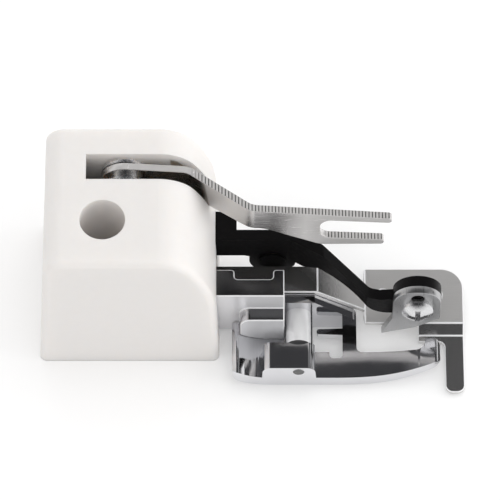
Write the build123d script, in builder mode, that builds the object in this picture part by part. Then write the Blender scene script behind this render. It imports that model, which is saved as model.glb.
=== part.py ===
"""Side-cutter presser foot: the needle clamp works a forked lever, and the lever swings a knife
that trims the cloth beside the needle. X runs along the seam, Y across it to the far side, Z up."""
import os
from math import atan2, cos, degrees, radians, sin, tan

from build123d import *

os.makedirs("parts", exist_ok=True)

# Endings of the names: run and back are measured along the seam from the housing's exit wall, inset from
# its left end, depth from its front face to the far side, drop down from the lever's axis

# Fits
running_fit = 0.05
seat_gap = 0.02
stack_gap = 0.1
clearance = 0.3

# Housing
housing_width = 25.8
housing_depth = 22.6
housing_height = 27.6
wall = 1.4
left_draft = 1.5
right_draft = 0.5
shoulder_across = 8.0
shoulder_down = 13.6
shoulder_radius = 5.8
corner_round = 2.6
face_round = 1.0
right_angle = 90.0

# How far the foot reaches past the housing, to the right and to the near side
foot_reach = 35.2
tongue_reach = 5.6

# Lever pivot, crank and arm pivot
lever_x_back = 13.2
lever_z_drop = 4.1
arm_x_run = 7.6
arm_z = 8.7
crank_throw = 4.6
crank_pin_radius = 1.0
crank_pin_rim = 0.75
lever_lift = 48.0
lift_margin = 1.0
shaft_radius = 1.4
pivot_radius = 1.2

# Layers on the lever shaft, counted from the lever towards the near side
lever_thickness = 1.1
shaft_end_gap = 0.2
hub_length = 1.0
hub_radius = 2.5
hub_rim = 0.5
spigot_radius = 2.0
crank_thickness = 0.8
ring_thickness = 0.4
ring_radius = 3.4

# Lever outline: eye, joggle and fork
eye_radius = 3.4
lever_front_depth = 10.3
joggle_start_back = 4.5
joggle_end_run = 4.4
lever_bend_round = 2.4
lever_low_drop = 3.3
belly_left_run = 6.2
belly_right_run = 14.4
belly_left_round = 4.0
belly_right_round = 3.0
fork_root_run = 14.3
upper_tip_run = 24.4
lower_tip_run = 23.4
upper_tip_top_drop = 0.7
slot_top_left_drop = 1.1
slot_top_right_drop = 1.9
slot_low_left_drop = 5.8
slot_low_right_drop = 6.5
prong_low_left_drop = 7.8
prong_low_right_drop = 7.7
tip_round = 0.55
root_flat = 1.4

# Openings of the housing
slot_left_inset = 7.15
slot_near_depth = 14.0
slot_far_depth = 18.1
slot_rib_length = 13.2
slot_rib_height = 9.0
access_inset = 9.6
access_depth = 7.4
access_radius = 3.2
tube_wall = 0.9
tube_foot = 4.6
tube_floor = 1.4
arm_window_low = 8.2

# Knife arm
arm_thickness = 1.65
arm_back_depth = 11.75
arm_front_depth = 5.25
arm_bend_start_run = 10.2
arm_bend_end_run = 21.2
arm_bend_round = 1.5
arm_top_drop = 9.0
arm_low = 10.0
tail_radius = 2.1
tail_top_back = 8.4
tail_top_rise = 1.5
tail_foot_back = 6.0
tail_low_back = 14.0
tail_low_rise = 3.5
tail_heel_back = 9.8
boss_radius = 3.3
boss_left_run = 3.6
boss_right_run = 12.0
bush_wall = 0.6
arm_washer_thickness = 0.3
root_left_back = 4.3
root_right_run = 2.5
root_depth = 3.0
slope_top_run = 14.7
slope_top_round = 1.2
slope_foot_run = 21.3
saddle_run = 23.0
saddle_down = 0.6
under_start_run = 14.1
under_start_up = 1.2
under_middle_run = 18.7
under_middle_down = 0.2
under_end_run = 21.0
under_end_down = 2.5
hook_run = 24.9
hook_down = 4.35
disc_x_run = 28.3
disc_z = 9.2
disc_radius = 3.45

# Moving knife and what holds it
knife_thickness = 1.1
knife_ring_thickness = 0.25
knife_left_run = 24.8
knife_right_run = 31.6
knife_top = 13.0
knife_heel_top = 5.6
knife_heel_low = 4.2
knife_heel_inset = 1.8
knife_heel_round = 0.5
knife_edge_low = 2.9
knife_edge_shift = 0.2
knife_back_low = 5.5
knife_tip_run = 23.3
knife_tip_z = 1.2
knife_screw_z = 8.5
knife_screw_head = 2.25
knife_screw_height = 1.7
knife_screw_dome = 0.7
knife_screw_shank = 1.2
knife_drive_length = 2.9
dowel_radius = 0.9
dowel_z = 11.2

# Lower knife: holder strip, neck, guide plate, step and tongue
sheet = 0.7
strip_top = 7.9
strip_near_depth = 6.9
strip_far_depth = 11.15
strip_left_back = 9.3
neck_left_run = 14.1
neck_right_run = 21.0
neck_taper = 0.3
guide_top = 2.2
guide_left_run = 20.7
guide_near_depth = 5.05
guide_far_depth = 14.0
guide_lean = 0.2
guide_throat = 0.4
guide_far_round = 0.4
guide_corner = 3.2
small_hole_radius = 0.75
small_hole_run = 23.6
small_hole_depth = 9.9
large_hole_radius = 1.25
large_hole_run = 30.9
large_hole_depth = 9.6
step_length = 6.6
step_run = 1.45
step_foot = 1.0
flange_near_depth = 2.6
tongue_width = 2.8
tongue_root_round = 0.9
tongue_tip_round = 1.1

# Foot frame
frame_sheet = 1.0
frame_near_depth = 4.5
frame_left_back = 11.3
frame_right_run = 9.3
frame_top = 11.0
flange_far_depth = 8.85
notch_left_run = 2.2
notch_right_run = 7.7
notch_deep = 1.55
notch_round = 0.5
shelf_thickness = 1.2
shelf_left_back = 9.3
shelf_right_back = 1.8
shelf_far_depth = 10.5
web_left_run = 6.2
web_right_run = 9.2
web_low = 3.4
web_thickness = 1.2
ear_thickness = 1.25
ear_radius = 2.0
lug_near_depth = 2.4
lug_left_run = 3.0
lug_right_run = 9.2
lug_top = 7.6
lug_round = 1.5
foot_left_inset = 4.5
foot_far_depth = 12.0

# Sole
sole_near_reach = 3.9
sole_thickness = 2.1
heel_left_run = 1.8
heel_start_run = 7.2
heel_far_depth = 4.4
heel_radius = 9.6
heel_round = 0.7
heel_corner_round = 1.0
rail_far_depth = 0.3
toe_start_run = 21.5
toe_right_run = 31.8
toe_lift = 2.4
toe_thickness = 1.3
toe_edge_round = 0.35
toe_left_run = 29.5
toe_far_depth = 1.9
toe_round = 1.6
bow_start_run = 17.0
bow_deep = 2.0
toe_far_round = 1.4
toe_root_round = 1.2
cheek_left_run = 6.1
cheek_right_run = 13.8
cheek_top = 5.0
cheek_draft = 0.15
cheek_round = 1.3
floor_right_run = 13.4
floor_thickness = 1.0
far_wall_left_run = 9.4
far_wall_thickness = 2.0
far_wall_right_run = 19.7
far_wall_round = 0.8
cross_left_run = 17.7
cross_near_round = 0.8
cross_far_round = 0.9
finger_tip_run = 14.0
finger_near_depth = 3.1
finger_far_depth = 4.2
finger_tip_width = 0.8
finger_round = 0.35
window_left_run = 15.8
window_bite = 1.0
window_round = 0.6

# Clip bar
bar_x_run = 11.35
bar_z = 3.9
bar_length = 5.2
bar_radius = 1.8
bar_pin_radius = 0.8

# Screws, clips and the base plate
base_recess = 0.2
base_thickness = 1.0
post_radius = 2.2
post_top = 7.5
post_left_inset = 4.6
post_right_back = 5.0
base_screw_radius = 0.9
base_head_radius = 1.7
housing_screw_radius = 1.2
housing_head_radius = 2.4
housing_head_height = 1.6
thread_boss_radius = 3.0
strip_screw_radius = 0.8
strip_head_radius = 1.5
strip_head_height = 1.0
strip_screw_inset = 1.7
strip_screw_pitch = 3.8
strip_screw_depth = 8.6
sole_screw_radius = 0.7
sole_head_radius = 1.25
sole_head_low = 0.3
sole_head_height = 0.8
sole_screw_left_inset = 2.0
sole_screw_right_inset = 1.2
pin_head_radius = 1.95
pin_head_height = 0.3
clip_radius = 2.2
groove_deep = 0.25
drive_depth = 0.7
drive_width = 0.6
edge_round = 0.25

# Ends of the housing and of the whole foot
x_left = -(housing_width + foot_reach) / 2
x_exit = x_left + housing_width
x_right = x_exit + foot_reach
y_front = (tongue_reach - housing_depth) / 2
y_back = y_front + housing_depth
y_tongue = y_front - tongue_reach
inner_front = y_front + wall
inner_back = y_back - wall

# Places along the seam
lever_x = x_exit - lever_x_back
crank_x = lever_x - crank_throw
arm_x = x_exit + arm_x_run
joggle_start = x_exit - joggle_start_back
joggle_end = x_exit + joggle_end_run
belly_left = x_exit + belly_left_run
belly_right = x_exit + belly_right_run
fork_root = x_exit + fork_root_run
upper_tip = x_exit + upper_tip_run
lower_tip = x_exit + lower_tip_run
slot_left = x_left + slot_left_inset
access_x = x_left + access_inset
arm_bend_start = x_exit + arm_bend_start_run
arm_bend_end = x_exit + arm_bend_end_run
root_left = x_exit - root_left_back
root_right = x_exit + root_right_run
disc_x = x_exit + disc_x_run
knife_left = x_exit + knife_left_run
knife_right = x_exit + knife_right_run
knife_tip_x = x_exit + knife_tip_run
strip_left = x_exit - strip_left_back
neck_left = x_exit + neck_left_run
neck_right = x_exit + neck_right_run
guide_left = x_exit + guide_left_run
step_left = x_right - step_length
tongue_left = x_right - tongue_width
frame_left = x_exit - frame_left_back
frame_right = x_exit + frame_right_run
notch_left = x_exit + notch_left_run
notch_right = x_exit + notch_right_run
shelf_left = x_exit - shelf_left_back
shelf_right = x_exit - shelf_right_back
web_left = x_exit + web_left_run
web_right = x_exit + web_right_run
lug_left = x_exit + lug_left_run
lug_right = x_exit + lug_right_run
foot_left = x_left + foot_left_inset
heel_left = x_exit + heel_left_run
heel_start = x_exit + heel_start_run
toe_start = x_exit + toe_start_run
toe_right = x_exit + toe_right_run
toe_left = x_exit + toe_left_run
bow_start = x_exit + bow_start_run
cheek_left = x_exit + cheek_left_run
cheek_right = x_exit + cheek_right_run
floor_right = x_exit + floor_right_run
far_wall_left = x_exit + far_wall_left_run
far_wall_right = x_exit + far_wall_right_run
cross_left = x_exit + cross_left_run
finger_tip = x_exit + finger_tip_run
window_left = x_exit + window_left_run
bar_x = x_exit + bar_x_run

# Places across the seam
lever_front = y_front + lever_front_depth
slot_near = y_front + slot_near_depth
slot_far = y_front + slot_far_depth
access_y = y_front + access_depth
arm_back = y_front + arm_back_depth
arm_far = arm_back + arm_thickness
arm_front = y_front + arm_front_depth
knife_far = arm_front - knife_ring_thickness
knife_near = knife_far - knife_thickness
strip_near = y_front + strip_near_depth
strip_far = y_front + strip_far_depth
guide_near = y_front + guide_near_depth
guide_far = y_front + guide_far_depth
flange_near = y_front + flange_near_depth
frame_near = y_front + frame_near_depth
frame_far = frame_near + frame_sheet
flange_far = y_front + flange_far_depth
shelf_far = y_front + shelf_far_depth
ear_near = arm_far + running_fit + arm_washer_thickness
lug_near = y_front + lug_near_depth
foot_far = y_front + foot_far_depth
sole_near = y_front - sole_near_reach
heel_far = y_front + heel_far_depth
rail_far = y_front + rail_far_depth
toe_far = y_front + toe_far_depth
toe_near = sole_near + bow_deep
far_wall_near = rail_far + bar_length
far_wall_far = far_wall_near + far_wall_thickness
finger_near = y_front + finger_near_depth
finger_far = y_front + finger_far_depth
shaft_near = arm_far + shaft_end_gap
clip_near = shaft_near + 2 * running_fit
crank_near = clip_near + ring_thickness + stack_gap
hub_near = crank_near + crank_thickness
lever_back = hub_near + hub_length
ring_near = lever_back + lever_thickness + stack_gap
lever_boss_near = ring_near + ring_thickness + stack_gap

# Heights
lever_z = housing_height - lever_z_drop
lever_top = lever_z + eye_radius
lever_low = lever_z - lever_low_drop
upper_tip_top = lever_z - upper_tip_top_drop
slot_top_left = lever_z - slot_top_left_drop
slot_top_right = lever_z - slot_top_right_drop
slot_low_left = lever_z - slot_low_left_drop
slot_low_right = lever_z - slot_low_right_drop
prong_low_left = lever_z - prong_low_left_drop
prong_low_right = lever_z - prong_low_right_drop
arm_top = lever_z - arm_top_drop
base_top = base_recess + base_thickness
strip_low = strip_top - sheet
head_foot = tube_foot + tube_floor

# Angles, radii and slopes
arm_ratio = crank_throw / (arm_x - lever_x + crank_throw)
lever_turn = atan2(lever_back - lever_front, joggle_end - joggle_start)
lever_bend_shift = lever_thickness * tan(lever_turn / 2)
arm_turn = atan2(arm_back - arm_front, arm_bend_end - arm_bend_start)
arm_bend_shift = arm_thickness * tan(arm_turn / 2)
heel_top_radius = heel_radius - sole_thickness
neck_slope = (strip_top - guide_top) / (neck_right - neck_left)
far_wall_slope_start = neck_left - sheet / 2 - running_fit
far_wall_end = far_wall_right - edge_round
far_wall_toe = strip_low - (far_wall_end - far_wall_slope_start) * neck_slope - running_fit
flank_radius = (
    shoulder_across ** 2 + (shoulder_down - shoulder_radius) ** 2 - shoulder_radius ** 2
) / (2 * (shoulder_across - shoulder_radius))
flank_turn = degrees(atan2(shoulder_down - shoulder_radius, flank_radius - shoulder_across))


def side_plane(y):
    """Plane seen from the near side at depth y, X to the right and Z up."""
    return Plane.XZ.offset(-y)


def block(x0, x1, y0, y1, z0, z1, mode=Mode.ADD):
    """Box between two corners."""
    with Locations(((x0 + x1) / 2, (y0 + y1) / 2, (z0 + z1) / 2)):
        Box(x1 - x0, y1 - y0, z1 - z0, mode=mode)


def turned_y(x, z, radius, y_near, y_far, mode=Mode.ADD):
    """Cylinder along Y."""
    with Locations((x, (y_near + y_far) / 2, z)):
        Cylinder(radius, y_far - y_near, rotation=(90, 0, 0), mode=mode)


def turned_z(x, y, radius, z_low, z_high, mode=Mode.ADD):
    """Cylinder along Z."""
    with Locations((x, y, (z_low + z_high) / 2)):
        Cylinder(radius, z_high - z_low, mode=mode)


def heel_arc_z(x, radius):
    """Height of a heel curve above the sole's flat at x, for the curve's radius."""
    run = max(heel_start - x, 0)
    return heel_radius - (radius ** 2 - run ** 2) ** 0.5


def crank_track(lift):
    """Place of the crank pin as the knife arm sees it when the lever has turned by `lift` degrees."""
    turn = radians(lift)
    pin_x = lever_x - crank_throw * cos(turn) - arm_x
    pin_z = lever_z - crank_throw * sin(turn) - arm_z
    back = turn * arm_ratio
    track_x = arm_x + pin_x * cos(back) + pin_z * sin(back)
    track_z = arm_z - pin_x * sin(back) + pin_z * cos(back)
    return (track_x, track_z)


# Housing: moulded shell with the lever slot and its rib, the windows in its right wall, the screw tube,
# the lever boss and two posts
crown_centre = (x_exit - right_draft - shoulder_across, housing_height - shoulder_radius)
flank_centre = (x_exit - right_draft - flank_radius, housing_height - shoulder_down)
crown_turn = right_angle - flank_turn
top_left = (x_left + left_draft, housing_height)
post_y = inner_back - post_radius + edge_round
post_places = [(x_left + post_left_inset, post_y), (x_exit - post_right_back, post_y)]

with BuildPart() as housing:
    with BuildSketch(side_plane(y_back)) as skin:
        with BuildLine():
            crown = CenterArc(crown_centre, shoulder_radius, flank_turn, crown_turn)
            flank = CenterArc(flank_centre, flank_radius, 0, flank_turn)
            Polyline(crown @ 1, top_left, (x_left, 0), (x_exit, 0), flank @ 0)
        make_face()
        fillet(skin.vertices().sort_by_distance(top_left)[0], corner_round)
    extrude(amount=housing_depth)
    rims = housing.faces().sort_by(Axis.Y)[0].edges() + housing.faces().sort_by(Axis.Y)[-1].edges()
    fillet([rim for rim in rims if rim.center().Z > edge_round], face_round)
    with BuildSketch(side_plane(inner_back)):
        with BuildLine():
            inner_crown = CenterArc(crown_centre, shoulder_radius - wall, flank_turn, crown_turn)
            inner_flank = CenterArc(flank_centre, flank_radius - wall, 0, flank_turn)
            Polyline(
                inner_crown @ 1,
                (x_left + left_draft + wall, housing_height - wall),
                (x_left + wall, -wall),
                (x_exit - wall, -wall),
                inner_flank @ 0,
            )
        make_face()
    extrude(amount=inner_back - inner_front, mode=Mode.SUBTRACT)
    block(slot_left, x_exit + wall, slot_near, slot_far, lever_low - clearance, housing_height + wall,
          mode=Mode.SUBTRACT)
    block(x_exit - 3 * wall, x_exit + wall, arm_back - clearance, arm_far + root_depth + clearance,
          arm_window_low, arm_top + clearance, mode=Mode.SUBTRACT)
    block(x_exit - 3 * wall, x_exit + wall, frame_near - clearance, strip_far + clearance,
          -wall, frame_top + clearance, mode=Mode.SUBTRACT)
    turned_z(access_x, access_y, access_radius + tube_wall, tube_foot, housing_height - wall / 2)
    turned_z(access_x, access_y, access_radius, tube_foot + tube_floor, housing_height + wall,
             mode=Mode.SUBTRACT)
    turned_z(access_x, access_y, housing_screw_radius + running_fit, 0, housing_height, mode=Mode.SUBTRACT)
    block(slot_left - wall, slot_left - wall + slot_rib_length, slot_far, slot_far + wall,
          housing_height - slot_rib_height, housing_height - wall / 2)
    turned_y(lever_x, lever_z, shaft_radius + wall, lever_boss_near, inner_back + wall / 2)
    turned_y(lever_x, lever_z, shaft_radius + seat_gap, slot_near, inner_back, mode=Mode.SUBTRACT)
    for post_x, post_depth in post_places:
        turned_z(post_x, post_depth, post_radius, base_top, post_top)
        turned_z(post_x, post_depth, base_screw_radius + seat_gap, 0, post_top - wall, mode=Mode.SUBTRACT)
housing.part.label = "housing"
export_step(housing.part, "parts/housing.step")

# Base plate: sheet that closes the housing's foot
with BuildPart() as base_plate:
    block(x_left + wall + clearance, x_exit - wall - clearance, inner_front + clearance,
          inner_back - running_fit, base_recess, base_top)
    for post_x, post_depth in post_places:
        turned_z(post_x, post_depth, base_screw_radius + running_fit, 0, base_top, mode=Mode.SUBTRACT)
        turned_z(post_x, post_depth, base_head_radius + running_fit, 0, base_recess + base_thickness / 2,
                 mode=Mode.SUBTRACT)
base_plate.part.label = "base_plate"
export_step(base_plate.part, "parts/base_plate.step")

# Base screws: two flat heads let into the base plate, up into the housing's posts
with BuildPart() as base_screws:
    for post_x, post_depth in post_places:
        turned_z(post_x, post_depth, base_head_radius, base_recess, base_recess + base_thickness / 2)
        turned_z(post_x, post_depth, base_screw_radius, base_recess, post_top - 2 * wall)
        with BuildSketch(Plane.XY.offset(base_recess)):
            with Locations((post_x, post_depth)):
                Rectangle(2 * base_head_radius, drive_width / 2)
        extrude(amount=base_thickness / 4, mode=Mode.SUBTRACT)
base_screws.part.label = "base_screws"
export_step(base_screws.part, "parts/base_screws.step")

# Foot frame: bent upright wall with its notched top flange, the screwed foot inside the housing,
# the shelf for the lower knife, the lug for the sole and the rear ear that carries the arm pivot
lug_arc_left = heel_arc_z(lug_left, heel_top_radius) + seat_gap
lug_arc_mid = heel_arc_z((lug_left + heel_start) / 2, heel_top_radius) + seat_gap
lug_middle = (lug_near + frame_near) / 2
sole_screw_places = [
    (lug_left + sole_screw_left_inset, lug_middle),
    (lug_right - sole_screw_right_inset, lug_middle),
]
strip_screw_y = y_front + strip_screw_depth
strip_screw_places = [
    (shelf_left + strip_screw_inset, strip_screw_y),
    (shelf_left + strip_screw_inset + strip_screw_pitch, strip_screw_y),
]

with BuildPart() as foot_frame:
    block(frame_left, frame_right, frame_near, frame_far, base_top, frame_top)
    with BuildSketch(Plane.XY.offset(frame_top - frame_sheet)):
        with BuildLine():
            Polyline(
                (frame_left, frame_near), (frame_right, frame_near), (frame_right, flange_far),
                (notch_right, flange_far), (notch_right, flange_far - notch_deep),
                (notch_left, flange_far - notch_deep), (notch_left, flange_far), (frame_left, flange_far),
                close=True,
            )
        make_face()
    extrude(amount=frame_sheet)
    notch_corners = foot_frame.edges().filter_by(Axis.Z).filter_by_position(
        Axis.X, notch_left - edge_round, notch_right + edge_round
    )
    fillet(notch_corners, notch_round)
    block(foot_left, frame_left + frame_sheet, frame_near, foot_far, base_top, base_top + frame_sheet)
    turned_z(access_x, access_y, thread_boss_radius, base_top, tube_foot)
    turned_z(access_x, access_y, housing_screw_radius + seat_gap, 0, tube_foot, mode=Mode.SUBTRACT)
    block(shelf_left, shelf_right, frame_near, shelf_far, strip_low - shelf_thickness, strip_low)
    block(web_left, web_right, frame_near, ear_near + ear_thickness, web_low, web_low + web_thickness)
    block(web_left, web_right, ear_near, ear_near + ear_thickness, web_low, arm_z)
    turned_y(arm_x, arm_z, ear_radius, ear_near, ear_near + ear_thickness)
    turned_y(arm_x, arm_z, pivot_radius + seat_gap, ear_near, ear_near + ear_thickness, mode=Mode.SUBTRACT)
    with BuildSketch(side_plane(frame_far)) as lug_side:
        with BuildLine():
            lug_curve = ThreePointArc(
                (lug_left, lug_arc_left),
                ((lug_left + heel_start) / 2, lug_arc_mid),
                (heel_start, sole_thickness + seat_gap),
            )
            Polyline(
                lug_curve @ 1, (lug_right, sole_thickness + seat_gap), (lug_right, lug_top),
                (lug_left, lug_top), lug_curve @ 0,
            )
        make_face()
        fillet(lug_side.vertices().sort_by_distance((lug_left, lug_top))[0], lug_round)
    extrude(amount=frame_far - lug_near)
    for place_x, place_y in sole_screw_places:
        turned_z(place_x, place_y, sole_screw_radius + seat_gap, 0, lug_top - frame_sheet,
                 mode=Mode.SUBTRACT)
    for place_x, place_y in strip_screw_places:
        turned_z(place_x, place_y, strip_screw_radius + seat_gap, strip_low - 2 * shelf_thickness, strip_low,
                 mode=Mode.SUBTRACT)
foot_frame.part.label = "foot_frame"
export_step(foot_frame.part, "parts/foot_frame.step")

# Housing screw: pan head at the foot of the access tube
with BuildPart() as housing_screw:
    turned_z(access_x, access_y, housing_head_radius, head_foot, head_foot + housing_head_height)
    chamfer(housing_screw.edges().group_by(Axis.Z)[-1], 2 * edge_round)
    turned_z(access_x, access_y, housing_screw_radius, base_top + edge_round, head_foot)
    for turn in (0, right_angle):
        with Locations(Location((access_x, access_y, head_foot + housing_head_height), (0, 0, turn))):
            Box(2 * housing_screw_radius, drive_width, 2 * drive_depth, mode=Mode.SUBTRACT)
housing_screw.part.label = "housing_screw"
export_step(housing_screw.part, "parts/housing_screw.step")

# Sole: cast rail with curled heel and toe, near cheek, far wall, cross-bar and overcast finger
with BuildPart() as sole:
    with BuildSketch(side_plane(far_wall_far)) as sole_side:
        with BuildLine():
            heel_bottom = ThreePointArc(
                (heel_left, heel_arc_z(heel_left, heel_radius)),
                ((heel_left + heel_start) / 2, heel_arc_z((heel_left + heel_start) / 2, heel_radius)),
                (heel_start, 0),
            )
            flat_bottom = Line(heel_bottom @ 1, (toe_start, 0))
            toe_bottom = TangentArc(flat_bottom @ 1, (toe_right, toe_lift), tangent=(1, 0))
            toe_top = TangentArc(
                (toe_start, sole_thickness),
                (toe_right - toe_thickness / 2, toe_lift + toe_thickness),
                tangent=(1, 0),
            )
            heel_top = ThreePointArc(
                (heel_left, heel_arc_z(heel_left, heel_top_radius)),
                ((heel_left + heel_start) / 2, heel_arc_z((heel_left + heel_start) / 2, heel_top_radius)),
                (heel_start, sole_thickness),
            )
            Line(heel_top @ 1, toe_top @ 0)
            Line(toe_top @ 1, toe_bottom @ 1)
            Line(heel_bottom @ 0, heel_top @ 0)
        make_face()
        fillet(sole_side.vertices().group_by(Axis.X)[0], heel_round)
        fillet(sole_side.vertices().sort_by(Axis.X)[-2:], toe_edge_round)
    extrude(amount=far_wall_far - sole_near)
    with BuildSketch(Plane.XY.offset(-wall)) as sole_plan:
        with BuildLine():
            bow = TangentArc((bow_start, sole_near), (toe_right, toe_near), tangent=(1, 0))
            Polyline(
                bow @ 1, (toe_right, toe_far), (toe_left, toe_far), (toe_left, rail_far),
                (far_wall_right, rail_far), (far_wall_right, far_wall_far), (far_wall_left, far_wall_far),
                (far_wall_left, heel_far), (heel_left, heel_far), (heel_left, sole_near), bow @ 0,
            )
        make_face()
        fillet(sole_plan.vertices().sort_by_distance((toe_right, toe_near))[0], toe_round)
        fillet(sole_plan.vertices().sort_by_distance((toe_right, toe_far))[0], toe_far_round)
        fillet(sole_plan.vertices().sort_by_distance((toe_left, rail_far))[0], toe_root_round)
        fillet(sole_plan.vertices().sort_by_distance((far_wall_right, rail_far))[0], cross_near_round)
        fillet(sole_plan.vertices().sort_by_distance((heel_left, sole_near))[0], heel_corner_round)
        fillet(sole_plan.vertices().sort_by_distance((far_wall_right, far_wall_far))[0], cross_far_round)
    extrude(amount=housing_height, mode=Mode.INTERSECT)
    window_near = rail_far - window_bite
    with BuildSketch(Plane.XY.offset(-wall)) as needle_window:
        with BuildLine():
            Polyline(
                (floor_right, rail_far), (window_left, rail_far), (window_left, window_near),
                (cross_left, window_near), (cross_left, far_wall_near), (floor_right, far_wall_near),
                close=True,
            )
        make_face()
        for corner_x in (window_left, cross_left):
            fillet(needle_window.vertices().sort_by_distance((corner_x, window_near))[0], window_round)
    extrude(amount=housing_height, mode=Mode.SUBTRACT)
    block(far_wall_left, floor_right, rail_far, far_wall_near, floor_thickness, housing_height,
          mode=Mode.SUBTRACT)
    finger_middle = (finger_near + finger_far) / 2
    with BuildSketch(Plane.XY.offset(sole_thickness - floor_thickness)) as finger:
        with BuildLine():
            Polyline(
                (cross_left + edge_round, finger_near), (cross_left + edge_round, finger_far),
                (finger_tip, finger_middle + finger_tip_width / 2),
                (finger_tip, finger_middle - finger_tip_width / 2), close=True,
            )
        make_face()
        fillet(finger.vertices().group_by(Axis.X)[0], finger_round)
    extrude(amount=floor_thickness)
    with BuildSketch(side_plane(rail_far)) as cheek_side:
        with BuildLine():
            Polyline(
                (cheek_left, sole_thickness / 2), (cheek_right + cheek_draft, sole_thickness / 2),
                (cheek_right - cheek_draft, cheek_top), (cheek_left + cheek_draft, cheek_top), close=True,
            )
        make_face()
        fillet(cheek_side.vertices().group_by(Axis.Y)[-1], cheek_round)
    extrude(amount=rail_far - sole_near)
    with BuildSketch(side_plane(far_wall_far)) as wall_side:
        with BuildLine():
            Polyline(
                (far_wall_left, floor_thickness / 2), (far_wall_end, floor_thickness / 2),
                (far_wall_end, far_wall_toe), (far_wall_slope_start, strip_low), (far_wall_left, strip_low),
                close=True,
            )
        make_face()
        fillet(wall_side.vertices().sort_by_distance((far_wall_end, far_wall_toe))[0], far_wall_round)
    extrude(amount=far_wall_thickness)
    turned_y(bar_x, bar_z, bar_pin_radius + seat_gap, sole_near, far_wall_near + far_wall_thickness / 2,
             mode=Mode.SUBTRACT)
    for place_x, place_y in sole_screw_places:
        turned_z(place_x, place_y, sole_screw_radius + running_fit, -wall, 2 * sole_thickness,
                 mode=Mode.SUBTRACT)
        turned_z(place_x, place_y, sole_head_radius + running_fit, -wall, sole_head_low + sole_head_height,
                 mode=Mode.SUBTRACT)
sole.part.label = "sole"
export_step(sole.part, "parts/sole.step")

# Sole screws: two cheese heads let into the sole from below, up into the frame's lug
with BuildPart() as sole_screws:
    for place_x, place_y in sole_screw_places:
        turned_z(place_x, place_y, sole_head_radius, sole_head_low, sole_head_low + sole_head_height)
        turned_z(place_x, place_y, sole_screw_radius, sole_head_low, lug_top - 2 * frame_sheet)
        with Locations((place_x, place_y, sole_head_low)):
            Box(2 * sole_head_radius, drive_width / 2, sole_head_height, mode=Mode.SUBTRACT)
sole_screws.part.label = "sole_screws"
export_step(sole_screws.part, "parts/sole_screws.step")

# Clip bar: cross pin that the machine's foot holder grips, held by thinner spigots at both ends
with BuildPart() as snap_bar:
    turned_y(bar_x, bar_z, bar_radius, rail_far, far_wall_near)
    turned_y(bar_x, bar_z, bar_pin_radius, sole_near - running_fit,
             far_wall_near + far_wall_thickness / 2 - running_fit)
snap_bar.part.label = "snap_bar"
export_step(snap_bar.part, "parts/snap_bar.step")

# Lower knife: one bent sheet with the holder strip, the neck, the guide plate, the step and the tongue
guide_far_left = (guide_left + guide_lean, guide_far)
with BuildPart() as lower_knife:
    with BuildSketch(side_plane(guide_far)):
        with BuildLine():
            Polyline(
                (strip_left, strip_top), (neck_left, strip_top), (neck_right, guide_top),
                (x_right, guide_top), (x_right, guide_top - sheet),
                (neck_right - sheet / 2, guide_top - sheet),
                (neck_left - sheet / 2, strip_low), (strip_left, strip_low), close=True,
            )
        make_face()
    extrude(amount=guide_far - guide_near)
    with BuildSketch(Plane.XY) as knife_plan:
        with BuildLine():
            Polyline(
                (strip_left, strip_near), (neck_left, strip_near), (neck_right, strip_near + neck_taper),
                (guide_left, strip_near - guide_throat), (guide_left + guide_lean, guide_near),
                (x_right, guide_near), (x_right, guide_far), guide_far_left, (guide_left, strip_far),
                (strip_left, strip_far), close=True,
            )
        make_face()
        fillet(knife_plan.vertices().sort_by_distance((x_right, guide_far))[0], guide_corner)
        fillet(knife_plan.vertices().sort_by_distance(guide_far_left)[0], guide_far_round)
    extrude(amount=housing_height, mode=Mode.INTERSECT)
    with BuildSketch(Plane.YZ.offset(x_right)):
        with BuildLine():
            Polyline(
                (guide_near + edge_round, guide_top), (guide_near, guide_top),
                (guide_near - step_run, step_foot), (y_tongue, step_foot), (y_tongue, step_foot - sheet),
                (guide_near - step_run - edge_round, step_foot - sheet),
                (guide_near - edge_round, guide_top - sheet), (guide_near + edge_round, guide_top - sheet),
                close=True,
            )
        make_face()
    extrude(amount=step_left - x_right)
    with BuildSketch(Plane.XY) as tongue_gap:
        with BuildLine():
            Polyline(
                (step_left - wall, flange_near), (tongue_left, flange_near), (tongue_left, y_tongue - wall),
                (step_left - wall, y_tongue - wall), close=True,
            )
        make_face()
        fillet(tongue_gap.vertices().sort_by_distance((tongue_left, flange_near))[0], tongue_root_round)
    extrude(amount=step_foot, mode=Mode.SUBTRACT)
    tongue_corners = lower_knife.edges().filter_by(Axis.Z).group_by(Axis.Y)[0]
    fillet(tongue_corners, tongue_tip_round)
    turned_z(x_exit + small_hole_run, y_front + small_hole_depth, small_hole_radius, 0, strip_top,
             mode=Mode.SUBTRACT)
    turned_z(x_exit + large_hole_run, y_front + large_hole_depth, large_hole_radius, 0, strip_top,
             mode=Mode.SUBTRACT)
    for place_x, place_y in strip_screw_places:
        turned_z(place_x, place_y, strip_screw_radius + running_fit, strip_low, strip_top,
                 mode=Mode.SUBTRACT)
lower_knife.part.label = "lower_knife"
export_step(lower_knife.part, "parts/lower_knife.step")

# Strip screws: two pan heads that hold the lower knife down on the frame's shelf
with BuildPart() as strip_screws:
    for place_x, place_y in strip_screw_places:
        turned_z(place_x, place_y, strip_head_radius, strip_top, strip_top + strip_head_height)
        turned_z(place_x, place_y, strip_screw_radius, strip_low - shelf_thickness + edge_round, strip_top)
        with Locations((place_x, place_y, strip_top + strip_head_height)):
            Box(2 * strip_head_radius, drive_width / 2, strip_head_height, mode=Mode.SUBTRACT)
strip_screws.part.label = "strip_screws"
export_step(strip_screws.part, "parts/strip_screws.step")

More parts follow.
